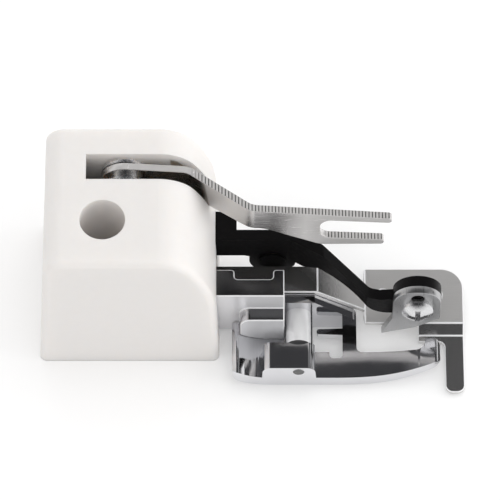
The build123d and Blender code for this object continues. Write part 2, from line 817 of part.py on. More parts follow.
# Lever shaft: fixed in the housing's rear boss, grooved at its near end for the clip
groove_radius = shaft_radius - groove_deep
with BuildPart() as lever_shaft:
    turned_y(lever_x, lever_z, shaft_radius, shaft_near, inner_back)
    with Locations((lever_x, clip_near + ring_thickness / 2, lever_z)):
        Cylinder(shaft_radius, ring_thickness, rotation=(90, 0, 0), mode=Mode.SUBTRACT)
    turned_y(lever_x, lever_z, groove_radius, shaft_near, inner_back)
lever_shaft.part.label = "lever_shaft"
export_step(lever_shaft.part, "parts/lever_shaft.step")

# Shaft clip: spring ring in the groove of the lever shaft, open on one side
with BuildPart() as shaft_clip:
    turned_y(lever_x, lever_z, clip_radius, clip_near + seat_gap, clip_near + ring_thickness - seat_gap)
    turned_y(lever_x, lever_z, groove_radius + seat_gap, clip_near, clip_near + ring_thickness,
             mode=Mode.SUBTRACT)
    block(lever_x - groove_radius, lever_x + groove_radius, clip_near, clip_near + ring_thickness,
          lever_z - 2 * clip_radius, lever_z, mode=Mode.SUBTRACT)
shaft_clip.part.label = "shaft_clip"
export_step(shaft_clip.part, "parts/shaft_clip.step")

# Lever washer: bright ring between the lever and the housing's boss
with BuildPart() as lever_washer:
    turned_y(lever_x, lever_z, ring_radius, ring_near, lever_boss_near)
    turned_y(lever_x, lever_z, shaft_radius + running_fit, ring_near, lever_boss_near, mode=Mode.SUBTRACT)
lever_washer.part.label = "lever_washer"
export_step(lever_washer.part, "parts/lever_washer.step")

# Fork lever: joggled strip with an eye at the shaft and an open fork for the needle clamp
tips = [
    (upper_tip, upper_tip_top), (upper_tip, slot_top_right), (lower_tip, prong_low_right),
    (lower_tip, slot_low_right),
]
with BuildPart() as fork_lever:
    with BuildSketch(side_plane(y_back)) as lever_side:
        with BuildLine():
            eye = ThreePointArc(
                (lever_x, lever_top), (lever_x - eye_radius, lever_z), (lever_x, lever_z - eye_radius)
            )
            Polyline(
                eye @ 1, (belly_left, lever_low), (belly_right, prong_low_left), (lower_tip, prong_low_right),
                (lower_tip, slot_low_right), (fork_root, slot_low_left), (fork_root, slot_top_left),
                (upper_tip, slot_top_right), (upper_tip, upper_tip_top), eye @ 0,
            )
        make_face()
        root_middle = (fork_root, (slot_low_left + slot_top_left) / 2)
        roots = lever_side.vertices().sort_by_distance(root_middle)[:2]
        fillet(roots, (slot_top_left - slot_low_left - root_flat) / 2)
        for tip in tips:
            fillet(lever_side.vertices().sort_by_distance(tip)[0], tip_round)
        fillet(lever_side.vertices().sort_by_distance((belly_left, lever_low))[0], belly_left_round)
        fillet(lever_side.vertices().sort_by_distance((belly_right, prong_low_left))[0], belly_right_round)
    extrude(amount=housing_depth)
    with BuildSketch(Plane.XY) as lever_plan:
        with BuildLine():
            Polyline(
                (x_left, lever_back), (joggle_start, lever_back), (joggle_end, lever_front),
                (x_right, lever_front), (x_right, lever_front + lever_thickness),
                (joggle_end + lever_bend_shift, lever_front + lever_thickness),
                (joggle_start + lever_bend_shift, lever_back + lever_thickness),
                (x_left, lever_back + lever_thickness), close=True,
            )
        make_face()
        for bend_x, near_round, far_round in (
            (joggle_start, lever_bend_round, lever_bend_round + lever_thickness),
            (joggle_end, lever_bend_round + lever_thickness, lever_bend_round),
        ):
            bend_y = lever_back if bend_x == joggle_start else lever_front
            far_corner = (bend_x + lever_bend_shift, bend_y + lever_thickness)
            fillet(lever_plan.vertices().sort_by_distance((bend_x, bend_y))[0], near_round)
            fillet(lever_plan.vertices().sort_by_distance(far_corner)[0], far_round)
    extrude(amount=housing_height, mode=Mode.INTERSECT)
    turned_y(lever_x, lever_z, spigot_radius + seat_gap, lever_front, y_back, mode=Mode.SUBTRACT)
fork_lever.part.label = "fork_lever"
export_step(fork_lever.part, "parts/fork_lever.step")

# Lever hub: flanged sleeve whose spigots are riveted into the lever and into the crank
with BuildPart() as lever_hub:
    turned_y(lever_x, lever_z, spigot_radius, crank_near, lever_back + lever_thickness)
    turned_y(lever_x, lever_z, hub_radius, hub_near, lever_back)
    turned_y(lever_x, lever_z, shaft_radius + running_fit, crank_near, lever_back + lever_thickness,
             mode=Mode.SUBTRACT)
lever_hub.part.label = "lever_hub"
export_step(lever_hub.part, "parts/lever_hub.step")

# Crank: short link on the hub, with the pin that drives the tail of the knife arm
crank_pin_near = arm_back - running_fit
with BuildPart() as crank:
    with BuildSketch(side_plane(hub_near)):
        with Locations((lever_x, lever_z)):
            Circle(hub_radius + hub_rim)
        with Locations((crank_x, lever_z)):
            Circle(crank_pin_radius + crank_pin_rim)
        make_hull()
    extrude(amount=crank_thickness)
    turned_y(lever_x, lever_z, spigot_radius + seat_gap, crank_near, hub_near, mode=Mode.SUBTRACT)
    turned_y(crank_x, lever_z, crank_pin_radius, crank_pin_near, hub_near)
crank.part.label = "crank"
export_step(crank.part, "parts/crank.step")

# Arm pivot pin: headed pin through the arm's bush, held in the frame's rear ear by a clip
pin_end = ear_near + ear_thickness + ring_thickness + 2 * edge_round
pivot_clip_near = ear_near + ear_thickness
pivot_groove_radius = pivot_radius - groove_deep
with BuildPart() as arm_pivot_pin:
    turned_y(arm_x, arm_z, pin_head_radius, arm_back - pin_head_height - running_fit, arm_back - running_fit)
    turned_y(arm_x, arm_z, pivot_radius, arm_back - running_fit, pin_end)
    with Locations((arm_x, pivot_clip_near + ring_thickness / 2, arm_z)):
        Cylinder(pivot_radius, ring_thickness, rotation=(90, 0, 0), mode=Mode.SUBTRACT)
    turned_y(arm_x, arm_z, pivot_groove_radius, arm_back, pin_end)
arm_pivot_pin.part.label = "arm_pivot_pin"
export_step(arm_pivot_pin.part, "parts/arm_pivot_pin.step")

# Pivot clip: spring ring behind the frame's ear
with BuildPart() as pivot_clip:
    turned_y(arm_x, arm_z, clip_radius - groove_deep, pivot_clip_near,
             pivot_clip_near + ring_thickness - seat_gap)
    turned_y(arm_x, arm_z, pivot_groove_radius + seat_gap, pivot_clip_near, pin_end, mode=Mode.SUBTRACT)
    block(arm_x - pivot_groove_radius, arm_x + pivot_groove_radius, pivot_clip_near, pin_end,
          arm_z, arm_z + 2 * clip_radius, mode=Mode.SUBTRACT)
pivot_clip.part.label = "pivot_clip"
export_step(pivot_clip.part, "parts/pivot_clip.step")

# Arm washer: thin ring between the knife arm and the frame's ear
with BuildPart() as arm_washer:
    turned_y(arm_x, arm_z, ear_radius + 2 * edge_round, arm_far + running_fit, ear_near)
    turned_y(arm_x, arm_z, pivot_radius + running_fit, arm_far, ear_near, mode=Mode.SUBTRACT)
arm_washer.part.label = "arm_washer"
export_step(arm_washer.part, "parts/arm_washer.step")

# Knife arm: black plate from its slotted tail, past the pivot boss and over the lower knife to its round end
bush_radius = pivot_radius + running_fit + bush_wall
slot_radius = crank_pin_radius + 2 * running_fit
slope_top = (x_exit + slope_top_run, arm_top)
track_start = crank_track(-lift_margin)
track_middle = crank_track(lever_lift / 2)
track_end = crank_track(lever_lift + lift_margin)
with BuildPart() as knife_arm:
    with BuildSketch(side_plane(y_back)) as arm_side:
        with BuildLine():
            under = ThreePointArc(
                (x_exit + under_start_run, disc_z + under_start_up),
                (x_exit + under_middle_run, disc_z - under_middle_down),
                (x_exit + under_end_run, disc_z - under_end_down),
            )
            hook = TangentArc(under @ 1, (x_exit + hook_run, disc_z - hook_down), tangent=under % 1)
            Polyline(
                under @ 0, (x_exit + boss_right_run, arm_z), (arm_x, arm_z),
                (x_exit + boss_left_run, arm_low), (x_exit - tail_heel_back, arm_low),
                (x_exit - tail_low_back, arm_top + tail_low_rise),
                (track_start[0], track_start[1] - tail_radius),
                (track_start[0], track_start[1] + tail_radius),
                (track_end[0], track_end[1] + tail_radius), (x_exit - tail_top_back, arm_top + tail_top_rise),
                (x_exit - tail_foot_back, arm_top), slope_top, (x_exit + slope_foot_run, disc_z),
                (x_exit + saddle_run, disc_z - saddle_down), (disc_x, disc_z), (disc_x, disc_z - disc_radius),
                hook @ 1,
            )
        make_face()
        with Locations(track_start):
            Circle(tail_radius)
        with Locations((arm_x, arm_z)):
            Circle(boss_radius)
        with Locations((disc_x, disc_z)):
            Circle(disc_radius)
        fillet(arm_side.vertices().sort_by_distance(slope_top)[0], slope_top_round)
    extrude(amount=housing_depth)
    with BuildSketch(Plane.XY) as arm_plan:
        with BuildLine():
            Polyline(
                (x_left, arm_back), (arm_bend_start, arm_back), (arm_bend_end, arm_front),
                (x_right + wall, arm_front), (x_right + wall, arm_front + arm_thickness),
                (arm_bend_end + arm_bend_shift, arm_front + arm_thickness),
                (arm_bend_start + arm_bend_shift, arm_far), (x_left, arm_far), close=True,
            )
        make_face()
        for bend_x, near_round, far_round in (
            (arm_bend_start, arm_bend_round, arm_bend_round + arm_thickness),
            (arm_bend_end, arm_bend_round + arm_thickness, arm_bend_round),
        ):
            bend_y = arm_back if bend_x == arm_bend_start else arm_front
            far_corner = (bend_x + arm_bend_shift, bend_y + arm_thickness)
            fillet(arm_plan.vertices().sort_by_distance((bend_x, bend_y))[0], near_round)
            fillet(arm_plan.vertices().sort_by_distance(far_corner)[0], far_round)
    extrude(amount=housing_height, mode=Mode.INTERSECT)
    block(root_left, root_right, arm_far - running_fit, arm_far + root_depth, arm_low, arm_top)
    with BuildSketch(side_plane(arm_far)):
        with BuildLine():
            ThreePointArc(track_start, track_middle, track_end)
        trace(line_width=2 * slot_radius)
        with Locations(track_start, track_end):
            Circle(slot_radius)
    extrude(amount=arm_thickness, mode=Mode.SUBTRACT)
    turned_y(arm_x, arm_z, bush_radius + seat_gap, arm_back, arm_far, mode=Mode.SUBTRACT)
    turned_y(disc_x, knife_screw_z, knife_screw_shank + seat_gap, arm_front, arm_front + arm_thickness,
             mode=Mode.SUBTRACT)
    turned_y(disc_x, dowel_z, dowel_radius + seat_gap, arm_front, arm_front + arm_thickness,
             mode=Mode.SUBTRACT)
knife_arm.part.label = "knife_arm"
export_step(knife_arm.part, "parts/knife_arm.step")

# Arm bush: bronze sleeve pressed into the pivot boss
with BuildPart() as arm_bush:
    turned_y(arm_x, arm_z, bush_radius, arm_back, arm_far)
    turned_y(arm_x, arm_z, pivot_radius + running_fit, arm_back, arm_far, mode=Mode.SUBTRACT)
arm_bush.part.label = "arm_bush"
export_step(arm_bush.part, "parts/arm_bush.step")

# Knife ring: bright spacer between the round end of the arm and the knife
with BuildPart() as knife_ring:
    turned_y(disc_x, disc_z, disc_radius, knife_far, arm_front)
    turned_y(disc_x, knife_screw_z, knife_screw_shank + running_fit, knife_far, arm_front, mode=Mode.SUBTRACT)
    turned_y(disc_x, dowel_z, dowel_radius + seat_gap, knife_far, arm_front, mode=Mode.SUBTRACT)
knife_ring.part.label = "knife_ring"
export_step(knife_ring.part, "parts/knife_ring.step")

# Moving knife: hardened blade with a round top, a slanted heel and a pointed tip
with BuildPart() as moving_knife:
    with BuildSketch(side_plane(knife_far)) as blade:
        with BuildLine():
            Polyline(
                (knife_left, knife_top), (knife_right, knife_top), (knife_right, knife_heel_top),
                (knife_right - knife_heel_inset, knife_heel_low), (disc_x - knife_edge_shift, knife_edge_low),
                (knife_tip_x, knife_tip_z), (knife_left, knife_back_low), close=True,
            )
        make_face()
        fillet(blade.vertices().group_by(Axis.Y)[-1], (knife_right - knife_left) / 2 - edge_round)
        fillet(blade.vertices().sort_by_distance((knife_right, knife_heel_top))[0], knife_heel_round)
    extrude(amount=knife_thickness)
    turned_y(disc_x, knife_screw_z, knife_screw_shank + running_fit, knife_near, knife_far,
             mode=Mode.SUBTRACT)
    turned_y(disc_x, dowel_z, dowel_radius + seat_gap, knife_near, knife_far, mode=Mode.SUBTRACT)
moving_knife.part.label = "moving_knife"
export_step(moving_knife.part, "parts/moving_knife.step")

# Knife dowel: black peg that stops the knife turning on the arm
with BuildPart() as knife_dowel:
    turned_y(disc_x, dowel_z, dowel_radius, knife_near + 2 * edge_round, arm_front + arm_thickness)
knife_dowel.part.label = "knife_dowel"
export_step(knife_dowel.part, "parts/knife_dowel.step")

# Knife screw: domed cross-head screw through the knife into the arm
with BuildPart() as knife_screw:
    turned_y(disc_x, knife_screw_z, knife_screw_head, knife_near - knife_screw_height, knife_near)
    chamfer(knife_screw.edges().group_by(Axis.Y)[0], knife_screw_dome)
    turned_y(disc_x, knife_screw_z, knife_screw_shank, knife_near, arm_front + arm_thickness)
    for turn in (right_angle / 2, -right_angle / 2):
        with Locations(Location((disc_x, knife_near - knife_screw_height, knife_screw_z), (0, turn, 0))):
            Box(knife_drive_length, 2 * drive_depth, drive_width, mode=Mode.SUBTRACT)
knife_screw.part.label = "knife_screw"
export_step(knife_screw.part, "parts/knife_screw.step")
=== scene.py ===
"""Looks of a side-cutter presser foot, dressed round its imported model."""

import bmesh
import bpy
import numpy as np
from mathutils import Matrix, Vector


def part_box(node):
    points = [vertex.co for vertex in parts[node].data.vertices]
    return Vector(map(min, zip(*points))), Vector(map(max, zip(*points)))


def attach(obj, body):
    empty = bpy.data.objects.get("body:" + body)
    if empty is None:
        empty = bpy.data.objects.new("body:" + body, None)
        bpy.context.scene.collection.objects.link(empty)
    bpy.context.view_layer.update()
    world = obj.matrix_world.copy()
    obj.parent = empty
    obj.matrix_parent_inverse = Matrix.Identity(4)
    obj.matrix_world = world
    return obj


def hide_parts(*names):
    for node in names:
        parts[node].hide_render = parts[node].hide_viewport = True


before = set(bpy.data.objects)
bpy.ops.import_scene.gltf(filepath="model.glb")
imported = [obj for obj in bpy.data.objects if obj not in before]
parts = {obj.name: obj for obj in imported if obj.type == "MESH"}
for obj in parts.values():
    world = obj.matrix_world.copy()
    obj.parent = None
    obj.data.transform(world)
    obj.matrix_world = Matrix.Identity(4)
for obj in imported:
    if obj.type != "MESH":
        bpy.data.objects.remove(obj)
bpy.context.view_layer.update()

# Housing: a hollow box with one rounded shoulder, moulded in warm white plastic.
# It is open below, slotted on top for the lever, and bored through for its screw.
MM = 0.001
MICRON = 0.000001


def finish(name, colour, metallic, roughness):
    """A new material with one Principled shader set to a plain colour, metal share and roughness."""
    made = bpy.data.materials.new(name)
    made.use_nodes = True
    shader = made.node_tree.nodes["Principled BSDF"]
    shader.inputs["Base Color"].default_value = (*colour, 1)
    shader.inputs["Metallic"].default_value = metallic
    shader.inputs["Roughness"].default_value = roughness
    return made


def grained(name, shades, metallic, roughness, cells, bump, detail=4.0):
    """A finish with noise on Object coordinates, `cells` of it to the metre on each axis. The noise runs
    the roughness between two ends, lifts a bump of `bump` metres and, where there are two shades, runs the
    colour from the first to the second."""
    noise_band = (0.3, 0.7)
    made = finish(name, shades[0], metallic, roughness[0])
    tree = made.node_tree
    shader = tree.nodes["Principled BSDF"]
    place = tree.nodes.new("ShaderNodeTexCoord")
    spread = tree.nodes.new("ShaderNodeMapping")
    spread.inputs["Scale"].default_value = cells
    noise = tree.nodes.new("ShaderNodeTexNoise")
    noise.inputs["Scale"].default_value = 1.0
    noise.inputs["Detail"].default_value = detail
    rough = tree.nodes.new("ShaderNodeMapRange")
    rough.inputs["From Min"].default_value, rough.inputs["From Max"].default_value = noise_band
    rough.inputs["To Min"].default_value, rough.inputs["To Max"].default_value = roughness
    relief = tree.nodes.new("ShaderNodeBump")
    relief.inputs["Distance"].default_value = bump
    relief.inputs["Strength"].default_value = 1.0
    tree.links.new(place.outputs["Object"], spread.inputs["Vector"])
    tree.links.new(spread.outputs["Vector"], noise.inputs["Vector"])
    tree.links.new(noise.outputs["Fac"], rough.inputs["Value"])
    tree.links.new(rough.outputs["Result"], shader.inputs["Roughness"])
    tree.links.new(noise.outputs["Fac"], relief.inputs["Height"])
    tree.links.new(relief.outputs["Normal"], shader.inputs["Normal"])
    if len(shades) == 2:
        shade = tree.nodes.new("ShaderNodeMix")
        shade.data_type = "RGBA"
        shade.inputs["A"].default_value = (*shades[0], 1)
        shade.inputs["B"].default_value = (*shades[1], 1)
        tree.links.new(noise.outputs["Fac"], shade.inputs["Factor"])
        tree.links.new(shade.outputs["Result"], shader.inputs["Base Color"])
    return made


def wear(piece, made):
    """Gives a piece its finish, in place of what it had."""
    piece.data.materials.clear()
    piece.data.materials.append(made)


white = grained(
    "warm_white_moulding",
    shades=((0.868, 0.828, 0.798), (0.896, 0.856, 0.826)),
    metallic=0.0,
    roughness=(0.38, 0.50),
    cells=(900, 900, 900),
    bump=4 * MICRON,
)
moulded = white.node_tree.nodes["Principled BSDF"]
moulded.inputs["Subsurface Weight"].default_value = 0.5
moulded.inputs["Subsurface Radius"].default_value = (1.0, 0.9, 0.8)
moulded.inputs["Subsurface Scale"].default_value = 2.5 * MM
wear(parts["housing"], white)

# Base plate and small fasteners: pressed and turned steel, bright zinc plated.
# They close the housing's foot and hold the pieces inside it.
zinc = grained(
    "bright_zinc",
    shades=((0.64, 0.64, 0.65), (0.76, 0.76, 0.77)),
    metallic=1.0,
    roughness=(0.18, 0.34),
    cells=(2500, 2500, 2500),
    bump=0.4 * MICRON,
)
for name in (
    "base_plate", "base_screws", "housing_screw", "sole_screws", "strip_screws", "lever_shaft",
    "lever_washer", "arm_washer", "lever_hub", "crank",
):
    wear(parts[name], zinc)

# Clips and the pivot bush: two open rings of dark spring steel and a sleeve of sintered bronze.
# The clips spring into grooves on the lever's shaft and the pivot pin. The bush is pressed into the arm.
spring = grained(
    "dark_spring_steel",
    shades=((0.25, 0.25, 0.27),),
    metallic=1.0,
    roughness=(0.28, 0.42),
    cells=(3000, 3000, 3000),
    bump=2 * MICRON,
)
wear(parts["shaft_clip"], spring)
wear(parts["pivot_clip"], spring)
bronze = grained(
    "sintered_bronze",
    shades=((0.62, 0.45, 0.22),),
    metallic=1.0,
    roughness=(0.36, 0.55),
    cells=(4000, 4000, 4000),
    bump=4 * MICRON,
)
wear(parts["arm_bush"], bronze)


def eased(name, body, made, width, segments=2, rim=None, flush=None):
    """A copy of a solid with its doubles merged, its flat facets joined and its sharp edges rounded by
    `width` metres. With `rim` the rounded edges take that second finish, and keep their width where edges
    are short. With `flush` the points at its first X move to its second, so that no sliver is left between
    two edges."""
    flat_angle = np.radians(0.4)
    sharp_angle = np.radians(35.0)
    mesh = parts[name].data.copy()
    mesh.name = name + "_dressed"
    work = bmesh.new()
    work.from_mesh(mesh)
    bmesh.ops.remove_doubles(work, verts=work.verts, dist=MICRON)
    if flush:
        for point in work.verts:
            if abs(point.co.x - flush[0]) < MICRON:
                point.co.x = flush[1]
    bmesh.ops.dissolve_limit(work, angle_limit=flat_angle, verts=work.verts, edges=work.edges)
    bmesh.ops.recalc_face_normals(work, faces=work.faces)
    work.to_mesh(mesh)
    work.free()
    mesh.attributes.remove(mesh.attributes["custom_normal"])
    mesh.shade_smooth()
    piece = bpy.data.objects.new(name + "_dressed", mesh)
    bpy.context.scene.collection.objects.link(piece)
    ease = piece.modifiers.new("edge", "BEVEL")
    ease.width = width
    ease.segments = segments
    ease.limit_method = "ANGLE"
    ease.angle_limit = sharp_angle
    ease.use_clamp_overlap = rim is None
    flat = piece.modifiers.new("flat", "WEIGHTED_NORMAL")
    flat.keep_sharp = True
    wear(piece, made)
    if rim:
        mesh.materials.append(rim)
        ease.material = 1
    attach(piece, body)
    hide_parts(name)


def reckon(made, operation, first, second):
    """One sum of two values, each a number or the outlet of another node."""
    node = made.node_tree.nodes.new("ShaderNodeMath")
    node.operation = operation
    for socket, value in zip(node.inputs, (first, second)):
        if isinstance(value, float):
            socket.default_value = value
        else:
            made.node_tree.links.new(value, socket)
    return node.outputs["Value"]


def own(made, kind, axis):
    """One axis of the place ("Object") or the way of a face ("Normal") in a piece's own frame, or of the
    direction in the room ("Generated", for the world)."""
    tree = made.node_tree
    place = tree.nodes.new("ShaderNodeTexCoord")
    split = tree.nodes.new("ShaderNodeSeparateXYZ")
    tree.links.new(place.outputs[kind], split.inputs["Vector"])
    return split.outputs[axis]


def rising(made, value, low, high):
    """Runs from 0 to 1 as `value`, the outlet of another node, goes from `low` to `high`."""
    run = made.node_tree.nodes.new("ShaderNodeMapRange")
    run.inputs["From Min"].default_value = low
    run.inputs["From Max"].default_value = high
    made.node_tree.links.new(value, run.inputs["Value"])
    return run.outputs["Result"]


def shaded(made, share, dark):
    """Takes the base colour, as it is so far, down to `dark` times itself where `share` is 1."""
    tree = made.node_tree
    base = tree.nodes["Principled BSDF"].inputs["Base Color"]
    tone = tree.nodes.new("ShaderNodeMix")
    tone.data_type = "RGBA"
    tone.blend_type = "MULTIPLY"
    tone.inputs["B"].default_value = (dark, dark, dark, 1)
    tree.links.new(share, tone.inputs["Factor"])
    tree.links.new(base.links[0].from_socket, tone.inputs["A"])
    tree.links.new(tone.outputs["Result"], base)


def dulled(made, share, full, loss):
    """Takes the metal share from `full` down by `loss` where `share` is 1: a satin face mirrors less."""
    metal = reckon(made, "SUBTRACT", full, reckon(made, "MULTIPLY", share, loss))
    made.node_tree.links.new(metal, made.node_tree.nodes["Principled BSDF"].inputs["Metallic"])


# Shares of a face's normal on Y and on Z, for faces that look forward and flat tops.
front_turn = -0.9
flat_top_turn = (0.90, 0.99)
# Foot frame: chrome whose flat tops carry a painted dark reflection, and whose forward faces are satin.
frame_chrome = grained(
    "chrome_with_painted_dark_tops",
    shades=((0.76, 0.76, 0.78), (0.80, 0.80, 0.82)),
    metallic=1.0,
    roughness=(0.16, 0.26),
    cells=(300, 300, 300),
    bump=1 * MICRON,
    detail=2.0,
)
# Painted reflection: flat tops are darkened to 0.22 of their colour, standing for the dark room mirrored in
# them.
shaded(frame_chrome, rising(frame_chrome, own(frame_chrome, "Normal", "Z"), *flat_top_turn), dark=0.22)
frame_front = reckon(frame_chrome, "LESS_THAN", own(frame_chrome, "Normal", "Y"), front_turn)
dulled(frame_chrome, frame_front, full=1.0, loss=0.8)
# Painted highlight: the rounded edges are real, but their near-white, almost unmetallic colour stands for
# the light they catch.
highlight_edge = grained(
    "edge_painted_highlight",
    shades=((0.88, 0.88, 0.89), (0.93, 0.93, 0.94)),
    metallic=0.10,
    roughness=(0.28, 0.44),
    cells=(3000, 3000, 3000),
    bump=1 * MICRON,
)
frame_edge = 0.15 * MM
lug_side = 4.5 * MM
web_side = 4.6 * MM
# The frame's rounded edges take the painted highlight.
eased("foot_frame", "body", frame_chrome, frame_edge, rim=highlight_edge, flush=(lug_side, web_side))

chrome = grained(
    "bright_chrome",
    shades=((0.74, 0.74, 0.76), (0.79, 0.79, 0.81)),
    metallic=1.0,
    roughness=(0.05, 0.09),
    cells=(300, 300, 300),
    bump=0.5 * MICRON,
    detail=1.0,
)
sole_edge = 0.25 * MM
eased("sole", "body", chrome, sole_edge, segments=3)

# Snap bar: chrome given a pale, little-metal colour that is a painted highlight, standing for the bright
# top it mirrors.
snap_bar_chrome = grained(
    "pale_chrome_painted_highlight",
    shades=((0.91, 0.91, 0.92), (0.95, 0.95, 0.96)),
    metallic=0.25,
    roughness=(0.16, 0.26),
    cells=(300, 6000, 300),
    bump=0.3 * MICRON,
)
# Painted shade: the bar's forward-facing near end is darkened to 0.12 of its colour.
painted_shade_bar_end = reckon(snap_bar_chrome, "LESS_THAN", own(snap_bar_chrome, "Normal", "Y"), front_turn)
shaded(snap_bar_chrome, painted_shade_bar_end, dark=0.12)
wear(parts["snap_bar"], snap_bar_chrome)

# Lower knife: one piece of sheet steel, bent down from the holder strip to the guide plate.
# The plate is brushed along the seam, and the strip, the neck and the tongue are polished.
brushed = grained(
    "brushed_sheet",
    shades=((0.60, 0.59, 0.58), (0.76, 0.75, 0.74)),
    metallic=1.0,
    roughness=(0.40, 0.52),
    cells=(250, 26000, 26000),
    bump=2 * MICRON,
)
plate_depth = 8.95 * MM
plate_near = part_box("lower_knife")[1].y - plate_depth
plate_fade = 0.2 * MM
neck_left = 9.4 * MM
plate_left = 16.6 * MM
polished_roughness = 0.14
on_plate = reckon(
    brushed,
    "MULTIPLY",
    rising(brushed, own(brushed, "Object", "X"), neck_left, plate_left),
    rising(brushed, own(brushed, "Object", "Y"), plate_near - plate_fade, plate_near),
)
sheet_rough = brushed.node_tree.nodes["Principled BSDF"].inputs["Roughness"]
brush_gain = reckon(brushed, "SUBTRACT", sheet_rough.links[0].from_socket, polished_roughness)
brush_share = reckon(brushed, "MULTIPLY", on_plate, brush_gain)
brushed.node_tree.links.new(reckon(brushed, "ADD", polished_roughness, brush_share), sheet_rough)
dulled(brushed, on_plate, full=0.94, loss=0.30)
sheet_edge = 0.14 * MM
# The sheet's rounded edges take the painted highlight.
eased("lower_knife", "body", brushed, sheet_edge, rim=highlight_edge)

# Fork lever: a stamped and joggled strip of polished nickel plated steel on the housing's shaft.
# Its upper edges are satin, and cut with fine cross teeth from the joggle to the tips of the fork.
nickel = grained(
    "polished_nickel",
    shades=((0.62, 0.605, 0.595), (0.74, 0.725, 0.715)),
    metallic=1.0,
    roughness=(0.18, 0.28),
    cells=(400, 400, 9000),
    bump=0.2 * MICRON,
)
tooth_pitch = 0.47 * MM
tooth_height = 0.08 * MM
toothed_turn = (0.80, 0.92)
toothed_from = (-9.0 * MM, -7.0 * MM)
satin_turn = (0.50, 0.90)
satin_from = (3.0 * MM, 7.5 * MM)
groove_level = 0.24
# At a scale of 1 the wave comes round every tenth of pi.
wave_period = 0.1 * np.pi
tree = nickel.node_tree
place = tree.nodes.new("ShaderNodeTexCoord")
teeth = tree.nodes.new("ShaderNodeTexWave")
teeth.inputs["Scale"].default_value = wave_period / tooth_pitch
ribs = tree.nodes.new("ShaderNodeBump")
ribs.inputs["Distance"].default_value = tooth_height
tree.links.new(place.outputs["Object"], teeth.inputs["Vector"])
lever_along = own(nickel, "Object", "X")
lever_upward = own(nickel, "Normal", "Z")
toothed = reckon(
    nickel,
    "MULTIPLY",
    rising(nickel, lever_upward, *toothed_turn),
    rising(nickel, lever_along, *toothed_from),
)
tree.links.new(reckon(nickel, "MULTIPLY", toothed, teeth.outputs["Fac"]), ribs.inputs["Height"])
# Painted shade: the grooves between the teeth are darkened to 0.16 of the colour, where shade falls between
# them.
painted_groove_shade = reckon(nickel, "LESS_THAN", teeth.outputs["Fac"], groove_level)
shaded(nickel, reckon(nickel, "MULTIPLY", toothed, painted_groove_shade), dark=0.16)
satin = reckon(
    nickel,
    "MAXIMUM",
    rising(nickel, lever_upward, *satin_turn),
    rising(nickel, lever_along, *satin_from),
)
dulled(nickel, satin, full=1.0, loss=0.65)
lever_normal = tree.nodes["Principled BSDF"].inputs["Normal"]
tree.links.new(lever_normal.links[0].from_socket, ribs.inputs["Normal"])
tree.links.new(ribs.outputs["Normal"], lever_normal)
lever_edge = 0.10 * MM
eased("fork_lever", "lever", nickel, lever_edge)

# Knife arm, dowel and pivot pin: steel with a satin black oxide.
# The arm swings on the pin and carries the knife on its round end.
black = grained(
    "black_oxide",
    shades=((0.003, 0.0027, 0.003), (0.006, 0.0055, 0.006)),
    metallic=0.0,
    roughness=(0.36, 0.52),
    cells=(1800, 1800, 1800),
    bump=3 * MICRON,
)
black.node_tree.nodes["Principled BSDF"].inputs["Specular IOR Level"].default_value = 0.12
arm_edge = 0.15 * MM
eased("knife_arm", "arm", black, arm_edge)
wear(parts["knife_dowel"], black)
wear(parts["arm_pivot_pin"], black)

# Moving knife and the ring behind it: a blade and a spacer of ground steel.
# The screw holds both to the round end of the arm, and the dowel keeps the knife from turning.
blade = grained(
    "ground_blade",
    shades=((0.44, 0.44, 0.445), (0.56, 0.56, 0.565)),
    metallic=1.0,
    roughness=(0.26, 0.40),
    cells=(16000, 600, 600),
    bump=2 * MICRON,
)
blade_edge = 0.08 * MM
eased("moving_knife", "arm", blade, blade_edge)
wear(parts["knife_ring"], blade)

# Knife screw: a domed steel head with a cross recess, bright zinc plated.
# It is driven through the knife and the ring into the round end of the arm.


